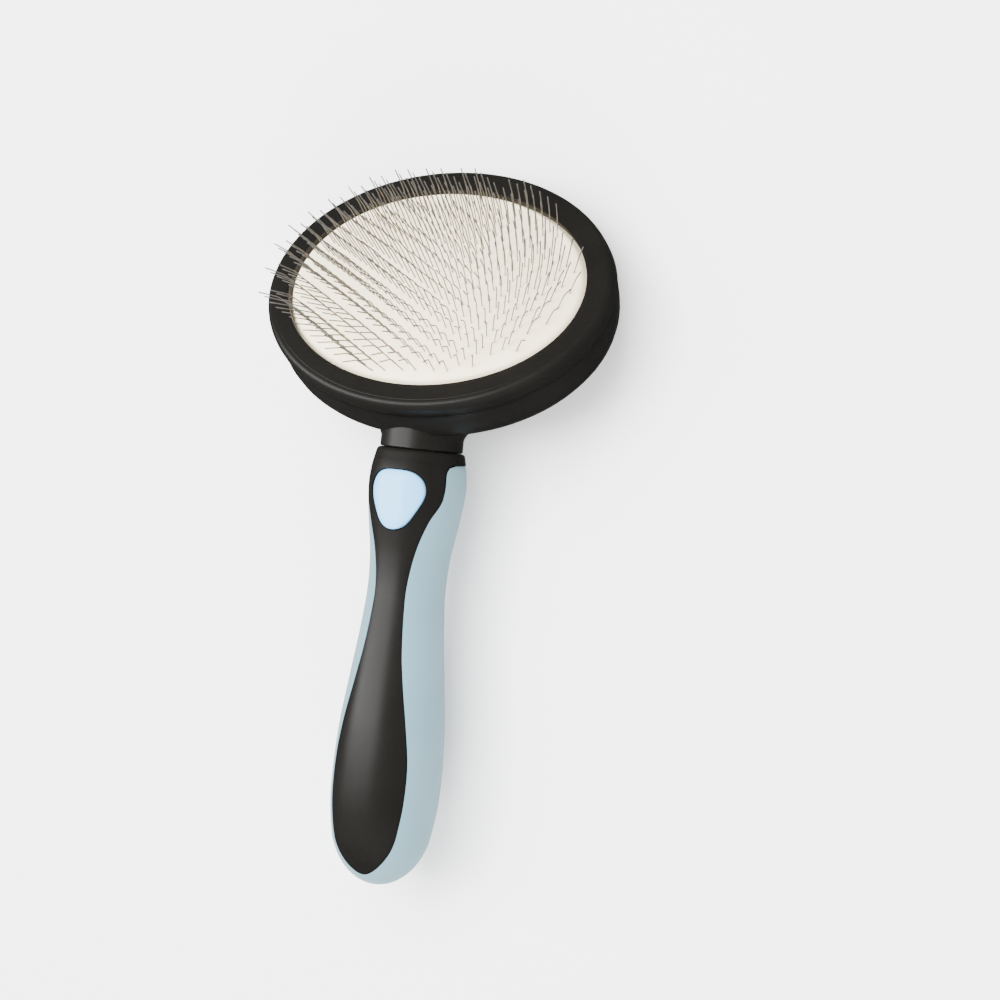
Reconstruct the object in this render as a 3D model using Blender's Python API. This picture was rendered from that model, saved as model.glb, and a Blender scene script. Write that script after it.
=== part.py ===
"""Slicker brush with a quick-release head: an oval cushion of bent wire pins on a soft-grip handle.

Model units here are millimetres, scaled to Blender's metres by MM. The handle lies along Y with
its axis at z = 0 while the parts are made, the pins face up, and the head leans back from the
handle by HEAD_TILT. At the end the whole brush is lifted so that it stands on z = 0.
"""

import math

import bmesh
import bpy
from mathutils import Matrix, Vector

MM = 0.001
GAP = 0.3  # clearance between neighbouring pieces
SOFT_GAP = 0.6  # clearance around soft pieces

# Head, in its own frame: z = 0 is the front face of the rim
HEAD_HALF_WIDTH = 48.5
HEAD_HALF_LENGTH = 35.9
HEAD_TILT = math.radians(26.0)
HEAD_REACH = 42.4  # from the handle joint to the middle of the head, along the handle
HEAD_RISE = 3.1  # rim plane above the handle's axis, at the middle of the head
OVAL_STEPS = 40

RIM_WIDTH = 6.8
RIM_THICKNESS = 2.4
RIM_DEPTH = 5.0
SHELL_DEPTH = 17.0
SHELL_WALL = 2.0
SHELL_SHIFT = -3.0  # the back sits this far towards the neck
SHELL_STEP = 0.4  # the shell stands inside the rim's outer face
BACK_INSET = 12.0  # from the shell's side to its flat back

# Cushion
PAD_CROWN = 6.5
PAD_FLANGE = 3.0
PAD_EDGE_SINK = 0.6
PAD_THICKNESS = 3.9
RETAINER_HEIGHT = 2.4
FOUNDATION_THICKNESS = 1.2

# Pins: rows of bent wires, leaning away from each other over the crown
ROW_COUNT = 11
ROW_SPACING = 4.86
ROW_SHIFT = -7.0  # of each row's pairs along the row, from the row before
FIELD_TURN = math.radians(4.7)
FIELD_OFFSET = -1.2
FIELD_HALF_WIDTH = 38.5
FIELD_HALF_LENGTH = 26.0
PAIR_PITCH = 8.7
PIN_SPACING = 3.6
PIN_THICKNESS = 0.5
BASE_LEG = 6.3
TIP_LEG = 5.6
FAN_ACROSS = math.radians(0.72)  # per millimetre from the middle
BASE_LEAN = math.radians(9.0)
BASE_FAN = math.radians(0.6)
TIP_LEAN = math.radians(-10.0)
TIP_FAN = math.radians(0.9)
ROW_BAR = 0.7

# Neck and the spigot that plugs into the handle
NECK_RADIUS = 10.7
SPIGOT_RADIUS = 4.8
SPIGOT_LENGTH = 14.0
KEYWAY_WIDTH = 3.2
KEYWAY_DEPTH = 1.4

# Handle, along -Y from the joint
HANDLE_LENGTH = 113.2
HANDLE_STEPS = 24
HANDLE_STATIONS = (
    (0.0, 11.3), (5.0, 12.3), (10.0, 12.6), (18.0, 11.8), (27.0, 10.5), (36.0, 10.1),
    (46.0, 10.8), (60.0, 12.4), (72.0, 13.7), (84.0, 14.2), (93.0, 13.9), (101.5, 12.3),
    (HANDLE_LENGTH - 6.2, 10.0), (HANDLE_LENGTH - 2.7, 7.0), (HANDLE_LENGTH - 0.7, 3.2),
)
COLLAR_LENGTH = 3.0
SKIN = 2.3  # thickness of the grip and of the front cover
STRIP_END = HANDLE_LENGTH - 3.7
CORE_END = HANDLE_LENGTH - 7.2
STRIP_STATIONS = (  # distance from the joint and half angle of the front cover
    (0.0, 60.0), (12.0, 59.0), (18.0, 45.0), (26.0, 33.0), (35.0, 26.0), (42.0, 26.0), (52.0, 29.0),
    (60.0, 34.0), (70.0, 41.0), (80.0, 46.5), (90.0, 46.5), (98.0, 42.0), (104.0, 36.0),
    (STRIP_END - 1.5, 22.0), (STRIP_END, 3.0),
)

# Release button, catch and spring
BUTTON_CENTRE = 12.2
BUTTON_HALF_WIDTH = 7.2
BUTTON_HALF_LENGTH = 7.6
BUTTON_PROUD = 0.5
BUTTON_TRAVEL = 2.0
CATCH_POSITION = 10.0
CATCH_THICKNESS = 2.0
CATCH_RADIUS = SPIGOT_RADIUS + 2.6
CATCH_RISE = 0.6
SPRING_POSITION = 17.6
SPRING_RADIUS = 1.6
SPRING_WIRE = 0.3
SPRING_TURNS = 4
WELL_FLOOR = -1.0

for old in list(bpy.data.objects):
    bpy.data.objects.remove(old)
parts = bpy.data.collections.new("slicker_brush")
cutters = bpy.data.collections.new("cutters")
cutters.hide_render = True
for group in (parts, cutters):
    bpy.context.scene.collection.children.link(group)


def seat(name, place, turn=0.0, parent=None):
    """An empty that carries the pieces moving together."""
    made = bpy.data.objects.new(name, None)
    made.location = Vector(place) * MM
    made.rotation_euler.x = turn
    made.parent = parent
    parts.objects.link(made)
    return made


handle_seat = seat("handle_seat", (0, 0, 0))
head_seat = seat("head_seat", (0, HEAD_REACH, HEAD_RISE), -HEAD_TILT, handle_seat)
cushion_seat = seat("cushion_seat", (0, 0, 0), 0.0, head_seat)
button_seat = seat("button_seat", (0, -BUTTON_CENTRE, 0), 0.0, handle_seat)


# Materials

def material(name, colour, roughness, metallic=0.0):
    made = bpy.data.materials.new(name)
    made.use_nodes = True
    shader = made.node_tree.nodes["Principled BSDF"]
    shader.inputs["Base Color"].default_value = (*colour, 1)
    shader.inputs["Roughness"].default_value = roughness
    shader.inputs["Metallic"].default_value = metallic
    return made


BLACK_ABS = material("black_abs", (0.022, 0.021, 0.020), 0.42)
BLUE_TPR = material("blue_tpr", (0.34, 0.47, 0.50), 0.62)
PALE_BLUE_ABS = material("pale_blue_abs", (0.73, 0.87, 0.95), 0.25)
IVORY_RUBBER = material("ivory_rubber", (0.93, 0.88, 0.76), 0.6)
FOAM = material("foam", (0.75, 0.70, 0.60), 0.9)
BACKING_CLOTH = material("backing_cloth", (0.62, 0.58, 0.50), 0.85)
STEEL_WIRE = material("steel_wire", (0.45, 0.43, 0.40), 0.3, 1.0)
WHITE_POM = material("white_pom", (0.80, 0.80, 0.78), 0.35)


# Making and cutting pieces

def add_piece(name, bm, carrier, finish, owner=parts, place=Matrix.Identity(4)):
    """Turn a mesh in millimetres into an object on its seat, with its faces pointing out."""
    bmesh.ops.remove_doubles(bm, verts=bm.verts[:], dist=1e-4)
    bmesh.ops.transform(bm, matrix=Matrix.Scale(MM, 4), verts=bm.verts[:])
    bmesh.ops.recalc_face_normals(bm, faces=bm.faces[:])
    mesh = bpy.data.meshes.new(name)
    bm.to_mesh(mesh)
    bm.free()
    piece = bpy.data.objects.new(name, mesh)
    owner.objects.link(piece)
    piece.parent = carrier
    piece.matrix_basis = Matrix.Translation(place.to_translation() * MM) @ place.to_3x3().to_4x4()
    if owner == cutters:
        piece.hide_render = True
        piece.display_type = "WIRE"
    else:
        mesh.materials.append(finish)
        mesh.shade_smooth()
        mesh.set_sharp_from_angle(angle=math.radians(35))
    return piece


def combine(piece, tool, operation="DIFFERENCE"):
    step = piece.modifiers.new(tool.name, "BOOLEAN")
    step.operation = operation
    step.object = tool
    step.solver = "EXACT"


def oval_loft(rings, closed=False):
    """A skin through ovals (half width, half length, y, z); closed joins the last to the first."""
    bm = bmesh.new()
    bmesh.ops.create_circle(bm, cap_ends=not closed, radius=1.0, segments=OVAL_STEPS)
    edges = first_edges = bm.edges[:]
    half_width, half_length, middle, height = rings[0]
    for vert in bm.verts:
        vert.co = (vert.co.x * half_width, vert.co.y * half_length + middle, height)
    for ring in rings[1:]:
        made = bmesh.ops.extrude_edge_only(bm, edges=edges)["geom"]
        edges = [item for item in made if isinstance(item, bmesh.types.BMEdge)]
        for vert in [item for item in made if isinstance(item, bmesh.types.BMVert)]:
            y = (vert.co.y - middle) * ring[1] / half_length + ring[2]
            vert.co = (vert.co.x * ring[0] / half_width, y, ring[3])
        half_width, half_length, middle, height = ring
    if closed:
        bmesh.ops.bridge_loops(bm, edges=edges + first_edges)
    else:
        bmesh.ops.contextual_create(bm, geom=edges)
    return bm


def inset(distance, z, middle=0.0):
    """The head's oval drawn in by a distance, at height z and moved along the head by middle."""
    return (HEAD_HALF_WIDTH - distance, HEAD_HALF_LENGTH - distance, middle, z)


def turned(profile, steps):
    """A closed profile of (distance from the joint, radius) turned about the handle's axis."""
    bm = bmesh.new()
    verts = [bm.verts.new((radius, -distance, 0)) for distance, radius in profile]
    edges = [bm.edges.new((a, b)) for a, b in zip(verts, verts[1:] + verts[:1])]
    bmesh.ops.spin(bm, geom=verts + edges, cent=(0, 0, 0), axis=(0, 1, 0), dvec=(0, 0, 0),
                   angle=math.tau, steps=steps, use_merge=True)
    bmesh.ops.remove_doubles(bm, verts=bm.verts[:], dist=1e-4)
    bmesh.ops.dissolve_degenerate(bm, edges=bm.edges[:], dist=1e-4)
    return bm


def box(low, high):
    bm = bmesh.new()
    bmesh.ops.create_cube(bm, size=1.0)
    low, high = Vector(low), Vector(high)
    for vert in bm.verts:
        vert.co = [(low[i] + high[i]) / 2 + vert.co[i] * (high[i] - low[i]) for i in range(3)]
    return bm


def rod(radius, start, end, steps=32):
    """A cylinder between two points."""
    bm = bmesh.new()
    start, end = Vector(start), Vector(end)
    bmesh.ops.create_cone(bm, cap_ends=True, segments=steps, radius1=radius, radius2=radius,
                          depth=(end - start).length)
    turn = (end - start).to_track_quat("Z", "Y").to_matrix().to_4x4()
    bmesh.ops.transform(bm, matrix=Matrix.Translation((start + end) / 2) @ turn, verts=bm.verts[:])
    return bm


def along(stations, distance):
    """A smooth value through stations of (distance, value)."""
    for (d0, v0), (d1, v1) in zip(stations, stations[1:]):
        if distance <= d1:
            share = max(0.0, (distance - d0) / (d1 - d0))
            return v0 + (v1 - v0) * share
    return stations[-1][1]


def smooth_along(stations, distance):
    """The same, rounded over a short stretch so that no station shows as a corner."""
    reach = 2.0
    return sum(along(stations, distance + reach * step / 2) for step in (-2, -1, 0, 1, 2)) / 5


def handle_radius(distance):
    if distance < 2.0 or distance > HANDLE_LENGTH - 4.0:
        return along(HANDLE_STATIONS, distance)
    return smooth_along(HANDLE_STATIONS, distance)


def strip_angle(distance):
    return math.radians(along(STRIP_STATIONS, distance))


def handle_distances(start, end, count):
    """Distances along the handle, closer together at its rounded end."""
    return [start + (end - start) * math.sin(math.pi / 2 * step / count) for step in range(count + 1)]


# Head shell, with the neck and spigot moulded in one with it

def head_shell():
    side, depth, shift = SHELL_STEP, SHELL_DEPTH, SHELL_SHIFT
    outer = [
        inset(side, -(RIM_DEPTH + GAP)), inset(side + 0.2, -0.6 * depth, 0.55 * shift),
        inset(side + 1.0, -0.78 * depth, 0.8 * shift), inset(side + 3.0, -0.91 * depth, 0.95 * shift),
        inset(side + 6.5, -0.98 * depth, shift), inset(BACK_INSET, -depth, shift),
    ]
    return add_piece("head_back_shell", oval_loft(outer), head_seat, BLACK_ABS)


def head_cavity():
    floor = -(SHELL_DEPTH - SHELL_WALL)
    side = SHELL_STEP + SHELL_WALL
    hollow = [
        inset(side, 1.0), inset(side, -(PAD_THICKNESS + RETAINER_HEIGHT + 2 * GAP)),
        inset(side + 0.5, 0.68 * floor, 0.4 * SHELL_SHIFT),
        inset(side + 2.5, 0.8 * floor, 0.6 * SHELL_SHIFT), inset(side + 8.0, floor, 0.8 * SHELL_SHIFT),
    ]
    return add_piece("cavity_cutter", oval_loft(hollow), head_seat, None, cutters)


def neck():
    """Round at the joint, running on under the head until it dies into the flat back."""
    radius = NECK_RADIUS
    profile = [(-GAP, 0), (-GAP, radius), (-12, radius), (-26, 0.94 * radius), (-34, 0.75 * radius),
               (-38, 0.4 * radius), (-38, 0)]
    return add_piece("neck_tool", turned(profile, 32), handle_seat, None, cutters)


def spigot():
    return add_piece("spigot_tool", rod(SPIGOT_RADIUS, (0, 3.0, 0), (0, -SPIGOT_LENGTH, 0)), handle_seat,
                     None, cutters)


def keyway():
    half = KEYWAY_WIDTH / 2
    low = (-half, -SPIGOT_LENGTH - 1, -SPIGOT_RADIUS - 1)
    high = (half, -COLLAR_LENGTH, -SPIGOT_RADIUS + KEYWAY_DEPTH)
    return add_piece("keyway_cutter", box(low, high), handle_seat, None, cutters)


shell = head_shell()
combine(shell, neck(), "UNION")
combine(shell, head_cavity())
combine(shell, spigot(), "UNION")
combine(shell, keyway())


# Rim that clamps the cushion's edge, and the ring that backs it

rim_section = [
    inset(RIM_WIDTH, 0.0), inset(2.6, 0.0), inset(1.2, -0.4), inset(0.3, -1.3), inset(0.0, -2.6),
    inset(0.0, -RIM_DEPTH), inset(SHELL_WALL, -RIM_DEPTH), inset(SHELL_WALL, -RIM_THICKNESS),
    inset(RIM_WIDTH, -RIM_THICKNESS),
]
add_piece("head_rim", oval_loft(rim_section, closed=True), head_seat, BLACK_ABS)

flange_inset = RIM_WIDTH - PAD_FLANGE
ring_outer = SHELL_STEP + SHELL_WALL + GAP
ring_top = -(PAD_THICKNESS + GAP)
ring_section = [
    inset(ring_outer, ring_top), inset(ring_outer, ring_top - RETAINER_HEIGHT),
    inset(ring_outer + 3.2, ring_top - RETAINER_HEIGHT), inset(ring_outer + 3.2, ring_top),
]
add_piece("cushion_retainer", oval_loft(ring_section, closed=True), head_seat, BLACK_ABS)


# Cushion: rubber pad, backing cloth with the wires in it, and the foam behind

def pad_height(x, y):
    """The crowned face of the pad above the rim plane."""
    share = (x / (HEAD_HALF_WIDTH - RIM_WIDTH)) ** 2 + (y / (HEAD_HALF_LENGTH - RIM_WIDTH)) ** 2
    return PAD_CROWN * (1 - share) - PAD_EDGE_SINK


def cushion_pad():
    edge = RIM_WIDTH + GAP
    half_width, half_length, _, _ = inset(edge, 0)
    rings = [
        inset(flange_inset, -PAD_THICKNESS), inset(flange_inset, -RIM_THICKNESS - GAP),
        inset(edge, -RIM_THICKNESS - GAP), inset(edge, -PAD_EDGE_SINK),
    ]
    for share in (0.93, 0.84, 0.72, 0.56, 0.36, 0.14):
        x = half_width * share
        rings.append((x, half_length * share, 0.0, pad_height(x, 0)))
    return add_piece("cushion_pad", oval_loft(rings), head_seat, IVORY_RUBBER)


def row_place(row):
    return (row - (ROW_COUNT - 1) / 2) * ROW_SPACING


def field_point(across, along_head):
    """A point of the pin field, which sits on the cushion slightly turned, in the head's frame."""
    return Matrix.Rotation(FIELD_TURN, 2) @ Vector((across, along_head)) + Vector((0, FIELD_OFFSET))


def row_leans(row):
    y = row_place(row)
    return y * BASE_FAN + BASE_LEAN, y * TIP_FAN + TIP_LEAN


def pin_places(row):
    """Bases of the wires along one row, in pairs."""
    y = row_place(row)
    shift = (ROW_SHIFT * row) % PAIR_PITCH
    pairs = [shift + PAIR_PITCH * n for n in range(-6, 6)]
    legs = [centre + side * PIN_SPACING / 2 for centre in pairs for side in (-1, 1)]
    return [x for x in sorted(legs) if (x / FIELD_HALF_WIDTH) ** 2 + (y / FIELD_HALF_LENGTH) ** 2 < 1]


def row_frame(row):
    """Frame of one row: its middle on the pad's face, local Z along the wires' base legs."""
    x, y = field_point(0, row_place(row))
    turn = Matrix.Rotation(FIELD_TURN, 4, "Z") @ Matrix.Rotation(-row_leans(row)[0], 4, "X")
    return Matrix.Translation((x, y, pad_height(x, y))) @ turn


def bar_depth(row):
    """How far below the pad's face the row's bar lies, along the row's own plane."""
    middle = field_point(0, row_place(row))
    return (pad_height(*middle) + PAD_THICKNESS - GAP - ROW_BAR) / math.cos(row_leans(row)[0])


def pin_row(row):
    """One row of wires, as a comb: a bar under the pad's face, base legs, knees and tips."""
    lean, tip_lean = row_leans(row)
    depth = bar_depth(row)
    half = PIN_THICKNESS / 2
    crown = pad_height(*field_point(0, row_place(row)))
    bends = []
    for x in pin_places(row):
        fan = x * FAN_ACROSS
        surface = (pad_height(*field_point(x, row_place(row))) - crown) / math.cos(lean)
        foot = x - (surface + depth) * math.tan(fan)
        knee = x + BASE_LEG * math.sin(fan)
        bends.append((foot, knee, surface + BASE_LEG * math.cos(fan), fan))
    left, right = bends[0][0] - 2 * half, bends[-1][0] + 2 * half
    outline = [(left, -depth - ROW_BAR), (right, -depth - ROW_BAR), (right, -depth)]
    for foot, knee, rise, _ in reversed(bends):
        outline += [(foot + half, -depth), (knee + half, rise), (knee - half, rise), (foot - half, -depth)]
    outline.append((left, -depth))
    bm = bmesh.new()
    face = bm.faces.new([bm.verts.new((x, -half, z)) for x, z in outline])
    made = bmesh.ops.extrude_face_region(bm, geom=[face])["geom"]
    bmesh.ops.translate(bm, vec=(0, 2 * half, 0),
                        verts=[item for item in made if isinstance(item, bmesh.types.BMVert)])
    bmesh.ops.recalc_face_normals(bm, faces=bm.faces[:])
    bm.normal_update()
    bend = tip_lean - lean
    for _, knee, rise, fan in bends:
        top = min(bm.faces, key=lambda f: (f.calc_center_median() - Vector((knee, 0, rise))).length)
        made = bmesh.ops.extrude_discrete_faces(bm, faces=[top])["faces"][0]
        step = Vector((math.sin(fan), math.cos(fan) * math.sin(bend), math.cos(fan) * math.cos(bend)))
        bmesh.ops.translate(bm, vec=step * TIP_LEG, verts=made.verts[:])
    add_piece(f"pin_row_{row + 1:02d}", bm, cushion_seat, STEEL_WIRE, place=row_frame(row))


def row_slot(row):
    """Slot in the pad around one row."""
    reach = max(abs(x) for x in pin_places(row)) + PIN_THICKNESS + GAP
    half = PIN_THICKNESS / 2 + GAP
    bottom = -bar_depth(row) - ROW_BAR - PAD_THICKNESS
    return add_piece(f"slot_{row + 1:02d}", box((-reach, -half, bottom), (reach, half, BASE_LEG)),
                     cushion_seat, None, cutters, row_frame(row))


pad = cushion_pad()
for row in range(ROW_COUNT):
    pin_row(row)
    combine(pad, row_slot(row))

foundation_top = -(PAD_THICKNESS + GAP)
foundation_inset = ring_outer + 3.2 + SOFT_GAP
add_piece("pin_foundation", oval_loft([
    inset(foundation_inset, foundation_top - FOUNDATION_THICKNESS), inset(foundation_inset, foundation_top),
]), cushion_seat, BACKING_CLOTH)
add_piece("foam_cushion", oval_loft([
    inset(ring_outer + 8.0 + SOFT_GAP, -(SHELL_DEPTH - SHELL_WALL - GAP), 0.8 * SHELL_SHIFT),
    inset(foundation_inset, foundation_top - FOUNDATION_THICKNESS - GAP - 2.0),
    inset(foundation_inset, foundation_top - FOUNDATION_THICKNESS - GAP),
]), head_seat, FOAM)


# Handle: core, collar, grip and front cover

def core_radius(distance):
    return handle_radius(distance) - SKIN - GAP


def handle_core():
    bore = SPIGOT_RADIUS + GAP
    bottom = SPIGOT_LENGTH + 0.6
    places = handle_distances(COLLAR_LENGTH, CORE_END, HANDLE_STEPS - 8)
    profile = [(bottom, 0.0), (bottom, bore), (COLLAR_LENGTH, bore)]
    profile += [(d, core_radius(d)) for d in places]
    profile.append((CORE_END, 0.0))
    return add_piece("handle_core", turned(profile, 24), handle_seat, BLACK_ABS)


def handle_collar():
    bore = SPIGOT_RADIUS + GAP
    end = COLLAR_LENGTH - GAP
    profile = [(0.0, bore), (0.0, handle_radius(0) - 0.8), (0.8, handle_radius(0.8)),
               (end, handle_radius(end)), (end, bore)]
    add_piece("handle_collar", turned(profile, 40), handle_seat, BLACK_ABS)


def strip_tool(name, spread, reach_out, reach_in, overrun, finish, owner):
    """A curved plate over the front of the handle, as wide as the front cover at every place."""
    bm = bmesh.new()
    across, count = 8, 26
    bmesh.ops.create_grid(bm, x_segments=across, y_segments=count, size=1.0)
    made = bmesh.ops.extrude_face_region(bm, geom=bm.faces[:])["geom"]
    inner = {item for item in made if isinstance(item, bmesh.types.BMVert)}
    for vert in bm.verts:
        share = (1 - vert.co.y) / 2
        distance = COLLAR_LENGTH + (STRIP_END - COLLAR_LENGTH) * math.sin(math.pi / 2 * share)
        radius = handle_radius(distance)
        angle = vert.co.x * (strip_angle(distance) + spread / radius)
        radius += -reach_in if vert in inner else reach_out
        if share < 0.001 or share > 0.999:
            distance += math.copysign(overrun, share - 0.5)
        vert.co = (radius * math.sin(angle), -distance, radius * math.cos(angle))
    return add_piece(name, bm, handle_seat, finish, owner)


def grip_sleeve():
    places = handle_distances(COLLAR_LENGTH, HANDLE_STATIONS[-1][0], HANDLE_STEPS)
    outer = [(d, handle_radius(d)) for d in places] + [(HANDLE_LENGTH, 0.0)]
    places = handle_distances(COLLAR_LENGTH, CORE_END + GAP, HANDLE_STEPS - 6)
    inner = [(d, handle_radius(d) - SKIN) for d in places] + [(CORE_END + GAP, 0.0)]
    grip = add_piece("grip_sleeve", turned(outer + inner[::-1], 32), handle_seat, BLUE_TPR)
    combine(grip, strip_tool("strip_cutter", GAP, 3.0, SKIN + 1.2, GAP, None, cutters))


def button_outline(grow):
    """A rounded triangle, point towards the handle's end, as (x, distance from the joint)."""
    points = []
    for step in range(30):
        angle = math.tau * step / 30
        reach = 1.0 + 0.10 * math.cos(3 * angle)
        x = (BUTTON_HALF_WIDTH + grow) * reach * math.sin(angle)
        y = (BUTTON_HALF_LENGTH + grow) * reach * math.cos(angle)
        points.append((x, BUTTON_CENTRE + y))
    return points


def button_prism(grow, low, high):
    bm = bmesh.new()
    face = bm.faces.new([bm.verts.new((x, -d, low)) for x, d in button_outline(grow)])
    made = bmesh.ops.extrude_face_region(bm, geom=[face])["geom"]
    bmesh.ops.translate(bm, vec=(0, 0, high - low),
                        verts=[item for item in made if isinstance(item, bmesh.types.BMVert)])
    return bm


core = handle_core()
handle_collar()
grip_sleeve()
cover = strip_tool("handle_front_cover", 0.0, 0.0, SKIN, 0.0, BLACK_ABS, parts)
button_top = handle_radius(BUTTON_CENTRE) + BUTTON_PROUD
button_low = CATCH_RADIUS + CATCH_RISE + GAP
pocket_floor = button_low - BUTTON_TRAVEL - GAP
combine(cover, add_piece("button_window", button_prism(GAP, 0.0, button_top + 5), handle_seat, None, cutters))
combine(core, add_piece("button_pocket", button_prism(2 * GAP, pocket_floor, button_top + 5), handle_seat,
                        None, cutters))


# Release button with its catch plate and return spring

FROM_JOINT = Matrix.Translation((0, BUTTON_CENTRE, 0))  # the handle's joint, seen from the button's seat


def release_button():
    """Cap of the button, its face curved with the handle."""
    bm = button_prism(0.0, button_low, button_top)
    top = [vert for vert in bm.verts if vert.co.z > (button_low + button_top) / 2]
    face = max(bm.faces, key=lambda f: f.calc_center_median().z)
    bmesh.ops.inset_region(bm, faces=[face], thickness=1.2, use_even_offset=True)
    crown = [vert for vert in bm.verts if vert not in top and vert.co.z > button_top - 0.1]
    for vert in top + crown:
        drop = handle_radius(BUTTON_CENTRE) - math.sqrt(handle_radius(BUTTON_CENTRE) ** 2 - vert.co.x ** 2)
        vert.co.z -= drop * 0.85 + (0.5 if vert in top else 0.0)
    return add_piece("release_button", bm, button_seat, PALE_BLUE_ABS, place=FROM_JOINT)


def catch_plate():
    """Plate round the spigot: its lower tooth lies in the keyway until the button is pressed."""
    front, back = -CATCH_POSITION + CATCH_THICKNESS / 2, -CATCH_POSITION - CATCH_THICKNESS / 2
    hole = SPIGOT_RADIUS + GAP
    plate = add_piece("catch_plate", rod(CATCH_RADIUS, (0, back, CATCH_RISE), (0, front, CATCH_RISE)),
                      button_seat, WHITE_POM, place=FROM_JOINT)
    for name, rise in (("catch_hole", 0.0), ("catch_room", BUTTON_TRAVEL)):
        tool = rod(hole, (0, back - 1, rise), (0, front + 1, rise))
        combine(plate, add_piece(name, tool, handle_seat, None, cutters))
    tooth = KEYWAY_WIDTH / 2 - GAP
    tool = box((-tooth, back, -hole - 1), (tooth, front, -SPIGOT_RADIUS + KEYWAY_DEPTH - GAP))
    combine(plate, add_piece("catch_tooth", tool, handle_seat, None, cutters), "UNION")
    room = CATCH_RADIUS + GAP
    low = CATCH_RISE - BUTTON_TRAVEL
    tool = rod(room, (0, back - GAP, low), (0, front + GAP, low))
    combine(core, add_piece("catch_bed", tool, handle_seat, None, cutters))
    tool = box((-room, back - GAP, low), (room, front + GAP, button_top + 5))
    combine(core, add_piece("catch_slot", tool, handle_seat, None, cutters))


def button_spring():
    well = rod(SPRING_RADIUS + SPRING_WIRE + 2 * GAP, (0, -SPRING_POSITION, WELL_FLOOR),
               (0, -SPRING_POSITION, button_top + 5), 16)
    combine(core, add_piece("spring_well", well, handle_seat, None, cutters))
    foot = WELL_FLOOR + GAP + SPRING_WIRE
    height = button_low - GAP - SPRING_WIRE - foot
    per_turn = 10
    curve = bpy.data.curves.new("button_spring", "CURVE")
    curve.dimensions = "3D"
    curve.bevel_depth = SPRING_WIRE * MM
    curve.bevel_resolution = 1
    curve.use_fill_caps = True
    line = curve.splines.new("POLY")
    count = SPRING_TURNS * per_turn
    line.points.add(count)
    for step, point in enumerate(line.points):
        angle = math.tau * step / per_turn
        point.co = (SPRING_RADIUS * math.cos(angle) * MM, SPRING_RADIUS * math.sin(angle) * MM,
                    (foot + height * step / count) * MM, 1)
    spring = bpy.data.objects.new("button_spring", curve)
    spring.parent = handle_seat
    spring.location = (0, -SPRING_POSITION * MM, 0)
    curve.materials.append(STEEL_WIRE)
    parts.objects.link(spring)


release_button()
catch_plate()
button_spring()


# Stand the brush on z = 0, with its length centred

bpy.context.view_layer.update()
graph = bpy.context.evaluated_depsgraph_get()
low = Vector((1e9,) * 3)
high = -low
for piece in parts.objects:
    if piece.type == "EMPTY":
        continue
    evaluated = piece.evaluated_get(graph)
    for corner in evaluated.to_mesh().vertices:
        place = evaluated.matrix_world @ corner.co
        low = Vector(map(min, low, place))
        high = Vector(map(max, high, place))
handle_seat.location = (0, -(low.y + high.y) / 2, -low.z)
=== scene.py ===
"""Slicker brush with a quick-release head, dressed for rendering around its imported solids."""

import math

import bmesh
import bpy
from mathutils import Matrix, Vector, noise


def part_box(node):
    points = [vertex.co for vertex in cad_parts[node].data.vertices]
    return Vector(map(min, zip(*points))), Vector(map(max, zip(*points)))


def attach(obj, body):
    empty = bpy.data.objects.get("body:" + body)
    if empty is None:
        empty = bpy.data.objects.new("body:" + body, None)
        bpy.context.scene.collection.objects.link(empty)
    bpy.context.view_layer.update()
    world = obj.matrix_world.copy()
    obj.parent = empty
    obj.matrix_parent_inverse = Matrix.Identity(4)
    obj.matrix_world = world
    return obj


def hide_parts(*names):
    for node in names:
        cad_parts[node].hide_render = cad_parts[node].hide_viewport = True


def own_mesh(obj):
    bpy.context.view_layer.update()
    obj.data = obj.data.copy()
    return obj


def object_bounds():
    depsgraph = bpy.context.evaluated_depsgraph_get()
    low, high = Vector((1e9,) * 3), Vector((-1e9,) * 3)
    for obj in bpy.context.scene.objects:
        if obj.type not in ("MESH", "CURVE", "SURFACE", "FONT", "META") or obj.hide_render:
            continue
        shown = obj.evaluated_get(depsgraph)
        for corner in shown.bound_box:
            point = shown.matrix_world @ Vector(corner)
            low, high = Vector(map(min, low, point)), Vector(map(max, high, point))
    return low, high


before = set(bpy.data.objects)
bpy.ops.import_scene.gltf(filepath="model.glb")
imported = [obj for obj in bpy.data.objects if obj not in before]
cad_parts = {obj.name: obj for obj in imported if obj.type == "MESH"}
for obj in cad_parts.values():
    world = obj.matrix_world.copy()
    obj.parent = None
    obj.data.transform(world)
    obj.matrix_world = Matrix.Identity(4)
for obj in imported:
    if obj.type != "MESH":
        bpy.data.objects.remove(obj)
cad_box = [list(corner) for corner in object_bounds()]


# Head rim
# A hoop of black ABS, injection moulded with a satin face, that clamps the cushion's edge. Its outer
# edge is well rounded, and a fine step runs round the flat face where the mould halves meet.

MM = 0.001
HEAD_TILT = math.radians(26)
collar_low, collar_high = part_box("handle_collar")
joint = Vector((0, collar_high.y, (collar_low.z + collar_high.z) / 2))
head_place = (Matrix.Translation(joint + Vector((0, 42.4, 3.1)) * MM)
              @ Matrix.Rotation(-HEAD_TILT, 4, "X") @ Matrix.Scale(MM, 4))
handle_place = Matrix.Translation(joint) @ Matrix.Scale(MM, 4)
HEAD_HALF_WIDTH, HEAD_HALF_LENGTH = 48.5, 35.9
RIM_WIDTH = 6.8


def colour(code):
    """An sRGB hex value as linear red, green, blue and alpha."""
    parts = [int(code[i:i + 2], 16) / 255 for i in (1, 3, 5)]
    return (*[c / 12.92 if c <= 0.04045 else ((c + 0.055) / 1.055) ** 2.4 for c in parts], 1)


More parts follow.
